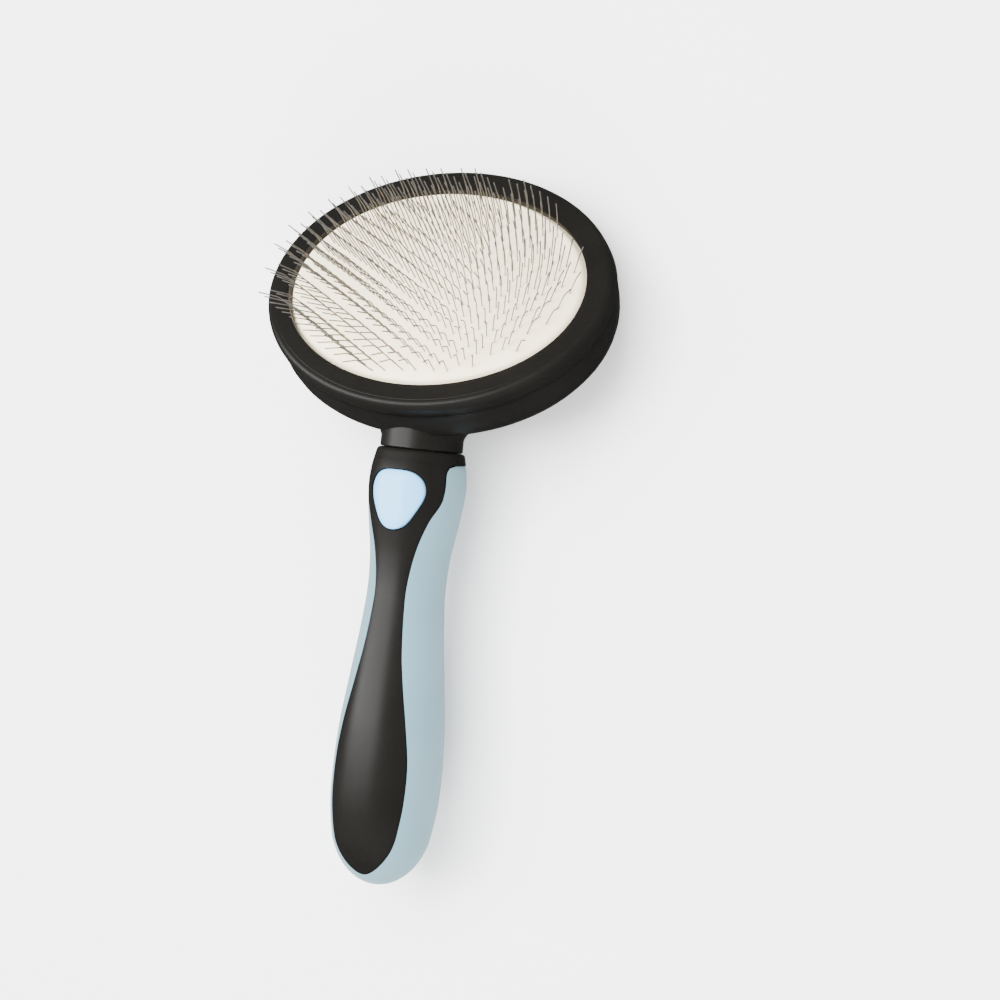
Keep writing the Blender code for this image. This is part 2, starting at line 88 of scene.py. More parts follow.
def add_node(tree, kind, inputs=None, links=None, **settings):
    """A shader node with its settings, its input values and its links from other nodes' outputs."""
    node = tree.nodes.new(kind)
    for name, value in settings.items():
        setattr(node, name, value)
    for name, value in (inputs or {}).items():
        node.inputs[name].default_value = value
    for name, (source, output) in (links or {}).items():
        tree.links.new(source.outputs[output], node.inputs[name])
    return node


def new_material(name):
    """A material with its Principled shader, and the object's coordinates in metres."""
    made = bpy.data.materials.new(name)
    made.use_nodes = True
    tree = made.node_tree
    return made, tree, tree.nodes["Principled BSDF"], add_node(tree, "ShaderNodeTexCoord")


def moulded_abs(name, base, sheen, roughness, grain_mm, grain_depth):
    """ABS from a spark-eroded mould: an even satin skin with a fine grain, a little uneven in gloss."""
    made, tree, shader, place = new_material(name)
    cloud = add_node(tree, "ShaderNodeTexNoise", {"Scale": 60.0, "Detail": 2.0},
                     {"Vector": (place, "Object")})
    ramp = add_node(tree, "ShaderNodeValToRGB", links={"Fac": (cloud, "Fac")})
    ramp.color_ramp.elements[0].color = colour(base)
    ramp.color_ramp.elements[1].color = colour(sheen)
    gloss = add_node(tree, "ShaderNodeMapRange", {"To Min": roughness - 0.05, "To Max": roughness + 0.06},
                     {"Value": (cloud, "Fac")})
    grain = add_node(tree, "ShaderNodeTexNoise", {"Scale": 1 / (grain_mm * MM), "Detail": 1.0},
                     {"Vector": (place, "Object")})
    bump = add_node(tree, "ShaderNodeBump", {"Strength": 0.5, "Distance": grain_depth * MM},
                    {"Height": (grain, "Fac")})
    tree.links.new(ramp.outputs["Color"], shader.inputs["Base Color"])
    tree.links.new(gloss.outputs["Result"], shader.inputs["Roughness"])
    tree.links.new(bump.outputs["Normal"], shader.inputs["Normal"])
    shader.inputs["IOR"].default_value = 1.5
    shader.inputs["Specular IOR Level"].default_value = 0.3
    return made


def add_piece(name, bm, place, finish, body, slot, *nodes):
    """A mesh in millimetres made an object at its place, riding on its body in its nodes' stead."""
    bmesh.ops.remove_doubles(bm, verts=bm.verts[:], dist=1e-3)
    bmesh.ops.dissolve_degenerate(bm, edges=bm.edges[:], dist=1e-3)
    bmesh.ops.transform(bm, matrix=place, verts=bm.verts[:])
    bmesh.ops.recalc_face_normals(bm, faces=bm.faces[:])
    mesh = bpy.data.meshes.new(name)
    bm.to_mesh(mesh)
    bm.free()
    piece = bpy.data.objects.new(name, mesh)
    bpy.context.scene.collection.objects.link(piece)
    if finish:
        mesh.materials.append(finish)
    mesh.shade_smooth()
    if body:
        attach(piece, body)
        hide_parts(*nodes)
    return piece


def oval(distance, z, middle=0.0):
    """The head's outline drawn in by a distance, at height z, moved along the head by middle."""
    return (HEAD_HALF_WIDTH - distance, HEAD_HALF_LENGTH - distance, middle, z)


def oval_loft(rings, closed=False, segments=144):
    """A skin through ovals; closed joins the last to the first, otherwise both ends are capped."""
    bm = bmesh.new()
    bmesh.ops.create_circle(bm, cap_ends=not closed, radius=1.0, segments=segments)
    edges = first_edges = bm.edges[:]
    half_width, half_length, middle, height = rings[0]
    for vert in bm.verts:
        vert.co = (vert.co.x * half_width, vert.co.y * half_length + middle, height)
    for ring in rings[1:]:
        made = bmesh.ops.extrude_edge_only(bm, edges=edges)["geom"]
        edges = [item for item in made if isinstance(item, bmesh.types.BMEdge)]
        for vert in [item for item in made if isinstance(item, bmesh.types.BMVert)]:
            y = (vert.co.y - middle) * ring[1] / half_length + ring[2]
            vert.co = (vert.co.x * ring[0] / half_width, y, ring[3])
        half_width, half_length, middle, height = ring
    if closed:
        bmesh.ops.bridge_loops(bm, edges=edges + first_edges)
    else:
        bmesh.ops.contextual_create(bm, geom=edges)
    return bm


# Black ABS with a satin skin: soft, even highlights and a grain too fine to see but in the gloss
black_abs = moulded_abs("satin_black_abs", "#0e0d0c", "#141311", 0.36, 0.25, 0.012)

rim_section = [
    oval(RIM_WIDTH + 0.0, -0.35), oval(RIM_WIDTH - 0.12, -0.1), oval(RIM_WIDTH - 0.4, 0.0),
    oval(4.6, 0.0), oval(2.5, 0.0), oval(2.42, -0.07), oval(2.3, -0.09), oval(2.2, -0.06),
    oval(1.7, -0.14), oval(1.2, -0.34), oval(0.75, -0.7), oval(0.4, -1.2), oval(0.16, -1.8),
    oval(0.04, -2.5), oval(0.0, -3.2), oval(0.0, -4.85), oval(0.12, -5.0),
    oval(2.0, -5.0), oval(2.0, -2.4), oval(RIM_WIDTH, -2.4),
]
rim = add_piece("rim_hoop", oval_loft(rim_section, closed=True), head_place, black_abs, "head", "black_abs",
                "head_rim")


# Back shell with its neck
# One ABS moulding: a shallow oval bowl, the neck that grows out of its lower side, and the spigot
# that plugs into the handle, with a keyway along its underside for the catch.

SHELL_DEPTH, SHELL_WALL, SHELL_SHIFT = 17.0, 2.0, -3.0
NECK_RADIUS, SPIGOT_RADIUS, SPIGOT_LENGTH = 10.7, 4.8, 14.0
GAP = 0.3


def turned(profile, segments=96):
    """A closed profile of (distance from the joint towards the handle's end, radius), turned."""
    bm = bmesh.new()
    verts = [bm.verts.new((radius, -distance, 0)) for distance, radius in profile]
    edges = [bm.edges.new((a, b)) for a, b in zip(verts, verts[1:] + verts[:1])]
    bmesh.ops.spin(bm, geom=verts + edges, cent=(0, 0, 0), axis=(0, 1, 0), dvec=(0, 0, 0),
                   angle=math.tau, steps=segments, use_merge=True)
    bmesh.ops.remove_doubles(bm, verts=bm.verts[:], dist=1e-4)
    bmesh.ops.dissolve_degenerate(bm, edges=bm.edges[:], dist=1e-4)
    return bm


def cut(piece, bm, place, operation="DIFFERENCE"):
    """Cut a mesh out of a piece, or join it on, and apply the result."""
    tool = add_piece(piece.name + "_tool", bm, place, None, None, None)
    step = piece.modifiers.new("cut", "BOOLEAN")
    step.operation = operation
    step.object = tool
    step.solver = "MANIFOLD"
    apply_modifiers(piece)
    bpy.data.objects.remove(tool)


def apply_modifiers(piece):
    graph = bpy.context.evaluated_depsgraph_get()
    finished = bpy.data.meshes.new_from_object(piece.evaluated_get(graph), depsgraph=graph)
    piece.modifiers.clear()
    old = piece.data
    piece.data = finished
    bpy.data.meshes.remove(old)


def flare():
    """The web that spreads the neck's sides into the bowl."""
    bm = bmesh.new()
    bmesh.ops.create_circle(bm, cap_ends=True, radius=1.0, segments=96,
                            matrix=Matrix.Rotation(math.pi / 2, 4, "X"))
    edges = bm.edges[:]
    stations = [
        (2.0, 10.6, 10.4, 0.0), (3.0, 10.75, 10.3, 0.1), (4.0, 11.2, 9.9, 0.3), (5.2, 12.3, 9.2, 0.6),
        (6.6, 14.6, 8.2, 1.1), (8.2, 17.8, 7.0, 1.7), (10.0, 20.8, 5.6, 2.4), (12.0, 22.5, 4.2, 3.0),
        (15.0, 22.0, 2.5, 3.6),
    ]
    y, half_width, half_height, rise = stations[0]
    for vert in bm.verts:
        vert.co = (vert.co.x * half_width, y, vert.co.z * half_height + rise)
    for station in stations[1:]:
        made = bmesh.ops.extrude_edge_only(bm, edges=edges)["geom"]
        edges = [item for item in made if isinstance(item, bmesh.types.BMEdge)]
        for vert in [item for item in made if isinstance(item, bmesh.types.BMVert)]:
            z = (vert.co.z - rise) * station[2] / half_height + station[3]
            vert.co = (vert.co.x * station[1] / half_width, station[0], z)
        y, half_width, half_height, rise = station
    bmesh.ops.contextual_create(bm, geom=edges)
    return bm


neck_profile = [
    (-0.12, 0), (-0.12, 10.4), (-0.4, NECK_RADIUS), (-14, NECK_RADIUS), (-22, 10.4), (-28, 9.6), (-33, 8.2),
    (-36.5, 6.2), (-38.5, 4.0), (-39.5, 1.5), (-39.6, 0),
]
shell_rings = [
    oval(0.7, -5.15), oval(0.42, -5.3), oval(0.4, -5.9), oval(0.45, -7.6, -0.6), oval(0.6, -10.2, -1.6),
    oval(0.95, -12.0, -2.05), oval(1.6, -13.4, -2.4), oval(2.7, -14.75, -2.7), oval(4.3, -15.8, -2.9),
    oval(6.3, -16.55, -3.0), oval(8.8, -16.93, -3.0), oval(12.0, -17.0, -3.0),
]
shell = add_piece("back_shell_and_neck", oval_loft(shell_rings), head_place, black_abs, "head", "black_abs",
                  "head_back_shell")
cut(shell, turned(neck_profile), handle_place, "UNION")
cut(shell, flare(), handle_place, "UNION")
floor = -(SHELL_DEPTH - SHELL_WALL)
cut(shell, oval_loft([
    oval(2.4, 1.0), oval(2.4, -6.8), oval(2.9, 0.68 * floor, -1.2), oval(4.9, 0.8 * floor, -1.8),
    oval(10.4, floor, -2.4),
]), head_place)
spigot_profile = [(-4.0, 0), (-4.0, SPIGOT_RADIUS), (SPIGOT_LENGTH - 0.8, SPIGOT_RADIUS),
                  (SPIGOT_LENGTH, SPIGOT_RADIUS - 0.8), (SPIGOT_LENGTH, 0)]
cut(shell, turned(spigot_profile), handle_place, "UNION")
keyway = bmesh.new()
bmesh.ops.create_cube(keyway, size=1.0)
bmesh.ops.scale(keyway, vec=(3.2, 12.0, 2.4), verts=keyway.verts[:])
bmesh.ops.translate(keyway, vec=(0, -10.0, -4.6), verts=keyway.verts[:])
cut(shell, keyway, handle_place)
shell.data.shade_smooth()
shell.data.set_sharp_from_angle(angle=math.radians(32))
rim.data.set_sharp_from_angle(angle=math.radians(40))


# Cushion
# A crowned pad of ivory latex rubber on a cloth backing, clamped all round by the rim. Every wire
# draws the rubber down into a small dimple where it comes through.

PAD_CROWN, PAD_EDGE_SINK, PAD_SKIN = 6.5, 0.6, 1.4
WIRE_ROWS, WIRE_ROW_SPACING, ROW_SHIFT = 33, 1.52, -2.2
FIELD_TURN, FIELD_OFFSET = math.radians(4.7), -1.2
FIELD_HALF_WIDTH, FIELD_HALF_LENGTH = 38.5, 26.0
PAIR_PITCH, WIRE_SPACING = 8.7, 3.6


def pad_height(x, y):
    share = (x / (HEAD_HALF_WIDTH - RIM_WIDTH)) ** 2 + (y / (HEAD_HALF_LENGTH - RIM_WIDTH)) ** 2
    return PAD_CROWN * (1 - share) - PAD_EDGE_SINK


def field_point(across, up):
    """A point of the wire field, which sits slightly turned on the cushion, in the head's frame."""
    x, y = Matrix.Rotation(FIELD_TURN, 2) @ Vector((across, up))
    return Vector((x, y + FIELD_OFFSET))


def staples(row):
    """The two legs of each staple in one row, as (across, up) in the field."""
    up = (row - (WIRE_ROWS - 1) / 2) * WIRE_ROW_SPACING
    start = (-0.3 + ROW_SHIFT * row) % PAIR_PITCH
    found = []
    for n in range(-6, 6):
        legs = [(start + PAIR_PITCH * n + side * WIRE_SPACING / 2, up) for side in (-1, 1)]
        if all((x / FIELD_HALF_WIDTH) ** 2 + (y / FIELD_HALF_LENGTH) ** 2 < 1.02 for x, y in legs):
            found.append(legs)
    return found


def latex():
    """Natural latex rubber: warm ivory, matt and slightly translucent, with a faint powdery mottle."""
    made, tree, shader, place = new_material("ivory_latex")
    cloud = add_node(tree, "ShaderNodeTexNoise", {"Scale": 90.0, "Detail": 3.0}, {"Vector": (place, "Object")})
    ramp = add_node(tree, "ShaderNodeValToRGB", links={"Fac": (cloud, "Fac")})
    ramp.color_ramp.elements[0].color = colour("#fae8c3")
    ramp.color_ramp.elements[1].color = colour("#fff1d4")
    skin = add_node(tree, "ShaderNodeTexNoise", {"Scale": 2500.0, "Detail": 2.0}, {"Vector": (place, "Object")})
    bump = add_node(tree, "ShaderNodeBump", {"Strength": 0.35, "Distance": 0.02 * MM}, {"Height": (skin, "Fac")})
    tree.links.new(ramp.outputs["Color"], shader.inputs["Base Color"])
    tree.links.new(bump.outputs["Normal"], shader.inputs["Normal"])
    shader.inputs["Roughness"].default_value = 0.55
    shader.inputs["Subsurface Weight"].default_value = 0.12
    shader.inputs["Subsurface Scale"].default_value = 2 * MM
    return made


def cushion():
    """The pad's face as a fine grid drawn round to an oval, dished at its edge and at every wire."""
    bm = bmesh.new()
    bmesh.ops.create_grid(bm, x_segments=170, y_segments=120, size=1.0)
    flange_width, flange_length = HEAD_HALF_WIDTH - 3.8, HEAD_HALF_LENGTH - 3.8
    wires = [field_point(*leg) for row in range(WIRE_ROWS) for legs in staples(row) for leg in legs]
    cells = {}
    for wire in wires:
        cells.setdefault((round(wire.x / 3), round(wire.y / 3)), []).append(wire)
    for vert in bm.verts:
        u, v = vert.co.x, vert.co.y
        x = u * math.sqrt(1 - v * v / 2) * flange_width
        y = v * math.sqrt(1 - u * u / 2) * flange_length
        edge = math.hypot(x / (HEAD_HALF_WIDTH - RIM_WIDTH - 0.3), y / (HEAD_HALF_LENGTH - RIM_WIDTH - 0.3))
        inside = min(1.0, max(0.0, (1.0 - edge) * 30))
        z = -2.75 + (pad_height(x, y) + 2.75) * inside ** 0.35
        cell = (round(x / 3), round(y / 3))
        for near in [(cell[0] + i, cell[1] + j) for i in (-1, 0, 1) for j in (-1, 0, 1)]:
            for wire in cells.get(near, ()):
                reach = math.hypot(x - wire.x, y - wire.y) / 0.8
                if reach < 1:
                    z -= 0.5 * (1 - reach * reach) ** 2
        vert.co = (x, y, z)
    return bm


pad = add_piece("rubber_cushion", cushion(), head_place, latex(), "head", "ivory_rubber", "cushion_pad")
if pad.data.polygons[0].normal.z < 0:
    pad.data.flip_normals()
skin = pad.modifiers.new("skin", "SOLIDIFY")
skin.thickness = PAD_SKIN * MM
skin.offset = -1
apply_modifiers(pad)
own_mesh(pad)


# Wires
# Some 430 tips of drawn spring steel: each wire is bent to a staple, pushed through the cushion from
# behind, and crimped half way up so that its tip leans back over the coat towards the handle.

WIRE_RADIUS = 0.16
BASE_LEG, TIP_LEG = 6.3, 5.6
FAN_ACROSS, FAN_SLACK = math.radians(0.79), math.radians(0.02)
BASE_LEAN, BASE_FAN = math.radians(9.0), math.radians(0.6)
TIP_LEAN, TIP_FAN = math.radians(-12.0), math.radians(1.0)


def spring_steel():
    """Drawn wire: bright grey, with fine lengthwise streaks that dull it unevenly."""
    made, tree, shader, place = new_material("drawn_spring_steel")
    cloud = add_node(tree, "ShaderNodeTexNoise", {"Scale": 400.0, "Detail": 3.0}, {"Vector": (place, "Object")})
    ramp = add_node(tree, "ShaderNodeValToRGB", links={"Fac": (cloud, "Fac")})
    ramp.color_ramp.elements[0].color = colour("#514e4a")
    ramp.color_ramp.elements[1].color = colour("#75726c")
    gloss = add_node(tree, "ShaderNodeMapRange", {"To Min": 0.3, "To Max": 0.5}, {"Value": (cloud, "Fac")})
    tree.links.new(ramp.outputs["Color"], shader.inputs["Base Color"])
    tree.links.new(gloss.outputs["Result"], shader.inputs["Roughness"])
    shader.inputs["Metallic"].default_value = 0.6
    return made


def sweep(bm, path, radius, sides=6):
    """A round wire along a path."""
    heading = (path[1] - path[0]).normalized()
    turn = heading.to_track_quat("Z", "Y").to_matrix().to_4x4()
    ring = bmesh.ops.create_circle(bm, cap_ends=True, segments=sides, radius=radius,
                                   matrix=Matrix.Translation(path[0]) @ turn)["verts"]
    edges = list({edge for vert in ring for edge in vert.link_edges})
    for i in range(1, len(path)):
        made = bmesh.ops.extrude_edge_only(bm, edges=edges)["geom"]
        edges = [item for item in made if isinstance(item, bmesh.types.BMEdge)]
        verts = [item for item in made if isinstance(item, bmesh.types.BMVert)]
        bmesh.ops.translate(bm, vec=path[i] - path[i - 1], verts=verts)
        after = (path[min(i + 1, len(path) - 1)] - path[i]).normalized() if i < len(path) - 1 else None
        before = (path[i] - path[i - 1]).normalized()
        target = (before + after).normalized() if after else before
        bmesh.ops.rotate(bm, cent=path[i], matrix=heading.rotation_difference(target).to_matrix(), verts=verts)
        heading = target
    bmesh.ops.contextual_create(bm, geom=edges)


def leg(across, up):
    """One leg of a staple from its tip down to its root behind the cushion, in the head's frame."""
    x, y = field_point(across, up)
    base = Vector((x, y, pad_height(x, y)))
    turn = Matrix.Rotation(FIELD_TURN, 3, "Z")
    fan = across * (FAN_ACROSS - up * FAN_SLACK)
    lean, tip_lean = up * BASE_FAN + BASE_LEAN, up * TIP_FAN + TIP_LEAN
    rise = turn @ Vector((math.sin(fan), math.cos(fan) * math.sin(lean), math.cos(fan) * math.cos(lean)))
    reach = turn @ Vector((math.sin(fan), math.cos(fan) * math.sin(tip_lean),
                           math.cos(fan) * math.cos(tip_lean)))
    jitter = noise.noise_vector(base * 7.3) * 0.075
    reach = (reach + jitter).normalized()
    rise = (rise + jitter * 0.5).normalized()
    knee = base + rise * BASE_LEG
    return [knee + reach * TIP_LEG, knee + reach * 0.7, knee + (reach - rise) * 0.14, knee - rise * 0.7,
            base - rise * 2.4]


steel = spring_steel()
cad_rows = sorted(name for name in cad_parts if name.startswith("pin_row"))
rows_each = WIRE_ROWS // len(cad_rows)
for number, cad_row in enumerate(cad_rows):
    wires = bmesh.new()
    for row in range(number * rows_each, (number + 1) * rows_each):
        for left, right in staples(row):
            sweep(wires, leg(*left) + leg(*right)[::-1], WIRE_RADIUS)
    add_piece(f"wire_rows_{number + 1:02d}", wires, head_place, steel, "pins", "steel_wire", cad_row)


# Handle front cover
# A black ABS strip down the front of the handle, wide at the button, narrow at the waist and wide
# again under the palm. A low shield round the button stands up from it by a third of a millimetre.

COLLAR_LENGTH = 3.0
HANDLE_LENGTH = 113.2
HANDLE_STATIONS = (
    (0.0, 11.3), (5.0, 12.3), (10.0, 12.6), (18.0, 11.8), (27.0, 10.5), (36.0, 10.1),
    (46.0, 10.8), (60.0, 12.4), (72.0, 13.7), (84.0, 14.2), (93.0, 13.9), (101.5, 12.61), (104.0, 11.73),
)
STRIP_END = 109.6
STRIP_STATIONS = (
    (0.0, 60.0), (12.0, 59.0), (18.0, 45.0), (26.0, 33.0), (35.0, 26.0), (42.0, 26.0), (52.0, 29.0),
    (60.0, 34.0), (70.0, 41.0), (80.0, 46.5), (90.0, 46.5), (98.0, 44.0), (110.0, 43.0),
)
SHIELD_STATIONS = (
    (0.0, 38.0), (4.0, 43.0), (8.0, 46.0), (10.5, 45.0), (13.0, 40.0), (16.0, 32.0), (19.5, 24.0),
    (24.0, 20.0),
)


def through(stations, distance):
    """A smooth curve through stations of (distance, value), by Hermite spans."""
    last = len(stations) - 1
    for i in range(last):
        (d0, v0), (d1, v1) = stations[i], stations[i + 1]
        if distance <= d1 or i == last - 1:
            before, after = stations[max(i - 1, 0)], stations[min(i + 2, last)]
            slope0 = (v1 - before[1]) / (d1 - before[0])
            slope1 = (after[1] - v0) / (after[0] - d0)
            t = min(1.0, max(0.0, (distance - d0) / (d1 - d0)))
            span = d1 - d0
            return ((2 * t ** 3 - 3 * t ** 2 + 1) * v0 + (t ** 3 - 2 * t ** 2 + t) * span * slope0
                    + (3 * t ** 2 - 2 * t ** 3) * v1 + (t ** 3 - t ** 2) * span * slope1)
    return stations[-1][1]


def handle_radius(distance):
    """The handle's radius, which closes as an ellipse at the end."""
    if distance > 101.5:
        return 13.5 * math.sqrt(max(0.0, 1 - ((distance - 95) / (HANDLE_LENGTH - 95)) ** 2))
    return through(HANDLE_STATIONS, distance)


def strip_angle(distance):
    """Half the angle that the strip covers, with a rounded corner at the collar and a round end."""
    angle = math.radians(through(STRIP_STATIONS, distance))
    corner = min(3.2, max(0.0, 3.2 - (distance - COLLAR_LENGTH)))
    angle += (3.2 - math.sqrt(3.2 ** 2 - corner ** 2)) / handle_radius(distance)
    closing = min(1.0, max(0.0, (distance - 97) / (STRIP_END - 97)))
    return angle * math.sqrt(1 - closing * closing)


def on_handle(distance, angle, lift=0.0):
    radius = handle_radius(distance) + lift
    return Vector((radius * math.sin(angle), -distance, radius * math.cos(angle)))


def shield_lift(distance, angle):
    if distance > SHIELD_STATIONS[-1][0]:
        return 0.0
    edge = math.radians(through(SHIELD_STATIONS, distance)) - abs(angle)
    share = min(1.0, max(0.0, edge * handle_radius(distance) / 1.3))
    fade = min(1.0, max(0.0, (22 - distance) / 8))
    return 0.22 * share * share * (3 - 2 * share) * fade * fade * (3 - 2 * fade)


def thumb_mark(distance, angle):
    """A faint crescent pressed into the strip near its end."""
    reach = math.hypot(distance - 101.6, handle_radius(distance) * angle)
    low = min(1.0, max(0.0, (distance - 101.9) / 1.4))
    return 0.12 * low * math.exp(-((reach - 3.6) / 0.22) ** 2)


def rounding(edge, radius):
    """How far a skin drops where it is this near its edge, to round the edge over."""
    short = max(0.0, radius - edge)
    return radius - math.sqrt(radius * radius - short * short)


strip = bmesh.new()
bmesh.ops.create_grid(strip, x_segments=80, y_segments=320, size=1.0)
for vert in strip.verts:
    across = math.sin(math.pi / 2 * vert.co.x)
    share = (1 - math.sin(math.pi / 2 * vert.co.y)) / 2
    distance = COLLAR_LENGTH + (STRIP_END - COLLAR_LENGTH) * share
    half = strip_angle(distance)
    edge = min((1 - abs(across)) * half * handle_radius(distance), STRIP_END - distance)
    angle = across * half
    lift = shield_lift(distance, angle) - thumb_mark(distance, angle) - rounding(edge, 0.2)
    vert.co = on_handle(distance, angle, lift)
cover = add_piece("front_cover_strip", strip, handle_place, black_abs, "handle", "black_abs",
                  "handle_front_cover")


def face_out(piece):
    """Turn an open skin's faces away from the handle's axis."""
    first = piece.data.polygons[len(piece.data.polygons) // 3]
    if first.normal.dot(first.center - Vector((0, first.center.y, joint.z))) < 0:
        piece.data.flip_normals()


def thicken(piece, thickness):
    """Give a skin its wall, inwards."""
    face_out(piece)
    wall = piece.modifiers.new("wall", "SOLIDIFY")
    wall.thickness = thickness * MM
    wall.offset = -1
    apply_modifiers(piece)
    piece.data.shade_smooth()


thicken(cover, 1.6)


# Release button
# A pale blue ABS key with a polished face, a rounded triangle that points down the handle. Its
# crown follows the handle and stands half a millimetre proud of the shield.

BUTTON_CENTRE, BUTTON_HALF_WIDTH, BUTTON_HALF_LENGTH = 12.2, 7.2, 7.6
BUTTON_DEPTH, BUTTON_PROUD = 4.6, 0.5


def button_outline(grow, steps=96):
    points = []
    for step in range(steps):
        angle = math.tau * step / steps
        reach = 1.0 + 0.10 * math.cos(3 * angle)
        points.append(((BUTTON_HALF_WIDTH + grow) * reach * math.sin(angle),
                       (BUTTON_HALF_LENGTH + grow) * reach * math.cos(angle)))
    return points


def button_skin(grow, levels):
    """Rings of the button's outline, each at (share of the outline, height above the surface)."""
    bm = bmesh.new()
    outline = button_outline(grow)
    bmesh.ops.create_circle(bm, cap_ends=True, radius=1.0, segments=len(outline))
    edges = bm.edges[:]
    order = list(bm.verts)
    middle = handle_radius(BUTTON_CENTRE)

    def put(verts, level):
        share, height, flat = level
        for vert, (x, d) in zip(verts, outline):
            surface = math.sqrt(middle ** 2 - (x * share) ** 2) if not flat else middle
            vert.co = (x * share, -(BUTTON_CENTRE + d * share), surface + height)

    put(order, levels[0])
    for level in levels[1:]:
        made = bmesh.ops.extrude_edge_only(bm, edges=edges)["geom"]
        edges = [item for item in made if isinstance(item, bmesh.types.BMEdge)]
        fresh = [item for item in made if isinstance(item, bmesh.types.BMVert)]
        fresh = [next(edge.other_vert(old) for edge in old.link_edges if edge.other_vert(old) in fresh)
                 for old in order]
        put(fresh, level)
        order = fresh
    bmesh.ops.contextual_create(bm, geom=edges)
    return bm


window = button_skin(0.25, [(1.0, -6.0, True), (1.0, 6.0, True)])
cut(cover, window, handle_place)
cover.data.shade_smooth()
cover.data.set_sharp_from_angle(angle=math.radians(38))

button_low = BUTTON_PROUD - BUTTON_DEPTH
key = button_skin(0.0, [
    (0.98, button_low, True), (1.0, button_low + 0.2, True), (1.0, -0.5, False), (0.995, -0.1, False),
    (0.975, 0.14, False), (0.94, 0.29, False), (0.88, 0.39, False), (0.75, 0.455, False),
    (0.55, 0.485, False), (0.3, 0.497, False), (0.1, 0.5, False),
])
pale_blue = moulded_abs("polished_pale_blue_abs", "#6cb2e2", "#7cbdea", 0.2, 0.6, 0.004)
shader = pale_blue.node_tree.nodes["Principled BSDF"]
shader.inputs["Coat Weight"].default_value = 0.4
shader.inputs["Coat Roughness"].default_value = 0.08
button = add_piece("release_key", key, handle_place, pale_blue, "button", "pale_blue_abs", "release_button")
button.data.set_sharp_from_angle(angle=math.radians(60))


# Grip
# Grey-blue thermoplastic rubber moulded over the core. It wraps the handle from one side of the
# front cover round the back to the other, and closes over the rounded end.

def soft_rubber():
    """TPR from a blasted mould: matt, a little dusty, greyer where it turns away from the light."""
    made, tree, shader, place = new_material("matt_grey_blue_tpr")
    cloud = add_node(tree, "ShaderNodeTexNoise", {"Scale": 40.0, "Detail": 4.0}, {"Vector": (place, "Object")})
    ramp = add_node(tree, "ShaderNodeValToRGB", links={"Fac": (cloud, "Fac")})
    ramp.color_ramp.elements[0].color = colour("#587984")
    ramp.color_ramp.elements[1].color = colour("#648692")
    gloss = add_node(tree, "ShaderNodeMapRange", {"To Min": 0.5, "To Max": 0.62}, {"Value": (cloud, "Fac")})
    grain = add_node(tree, "ShaderNodeTexNoise", {"Scale": 3000.0, "Detail": 2.0}, {"Vector": (place, "Object")})
    bump = add_node(tree, "ShaderNodeBump", {"Strength": 0.5, "Distance": 0.02 * MM},
                    {"Height": (grain, "Fac")})
    tree.links.new(ramp.outputs["Color"], shader.inputs["Base Color"])
    tree.links.new(gloss.outputs["Result"], shader.inputs["Roughness"])
    tree.links.new(bump.outputs["Normal"], shader.inputs["Normal"])
    shader.inputs["Sheen Weight"].default_value = 0.15
    return made


def strip_cutter():
    """The strip's outline, a hair wider all round, stood up through the grip."""
    bm = bmesh.new()
    side = []
    for step in range(201):
        distance = COLLAR_LENGTH + 0.02 + (STRIP_END - COLLAR_LENGTH - 0.02) * math.sin(math.pi / 2 * step / 200)
        half = strip_angle(distance)
        side.append((handle_radius(distance) * math.sin(half) + 0.1, -distance - (0.1 if step == 200 else 0)))
    side.insert(0, (side[0][0], 0))
    points = side + [(-x, y) for x, y in reversed(side)]
    face = bm.faces.new([bm.verts.new((x, y, 0)) for x, y in points])
    made = bmesh.ops.extrude_face_region(bm, geom=[face])["geom"]
    bmesh.ops.translate(bm, vec=(0, 0, 20), verts=[item for item in made if isinstance(item, bmesh.types.BMVert)])
    return bm


grip_profile = []
for step in range(241):
    distance = COLLAR_LENGTH + (HANDLE_LENGTH - COLLAR_LENGTH) * (1 - (1 - step / 240) ** 2)
    grip_profile.append((distance, handle_radius(distance) - rounding(distance - COLLAR_LENGTH, 0.4)))
for step in range(61):
    distance = COLLAR_LENGTH + (HANDLE_LENGTH - 2.2 - COLLAR_LENGTH) * (1 - (step / 60) ** 2)
    grip_profile.append((distance, max(0.0, handle_radius(distance) - 2.0) if step else 0.0))
sleeve = add_piece("soft_grip", turned(grip_profile, 192), handle_place, soft_rubber(), "handle", "blue_tpr",
                   "grip_sleeve")
cut(sleeve, strip_cutter(), handle_place)
sleeve.data.shade_smooth()
sleeve.data.set_sharp_from_angle(angle=math.radians(45))


# Collar
# A black ABS ring between the neck and the grip, glued on the core. Its upper edge is chamfered,
# and the neck's square end closes against it.

ring = turned([
    (0.0, SPIGOT_RADIUS + GAP), (0.0, 10.7), (0.1, 10.98), (0.3, 11.2), (0.6, 11.4),
    *[(0.3 * step, handle_radius(0.3 * step)) for step in range(3, 10)],
    (2.97, handle_radius(2.97)), (2.97, SPIGOT_RADIUS + GAP),
])
collar = add_piece("collar_ring", ring, handle_place, black_abs, "handle", "black_abs", "handle_collar")
collar.data.set_sharp_from_angle(angle=math.radians(35))
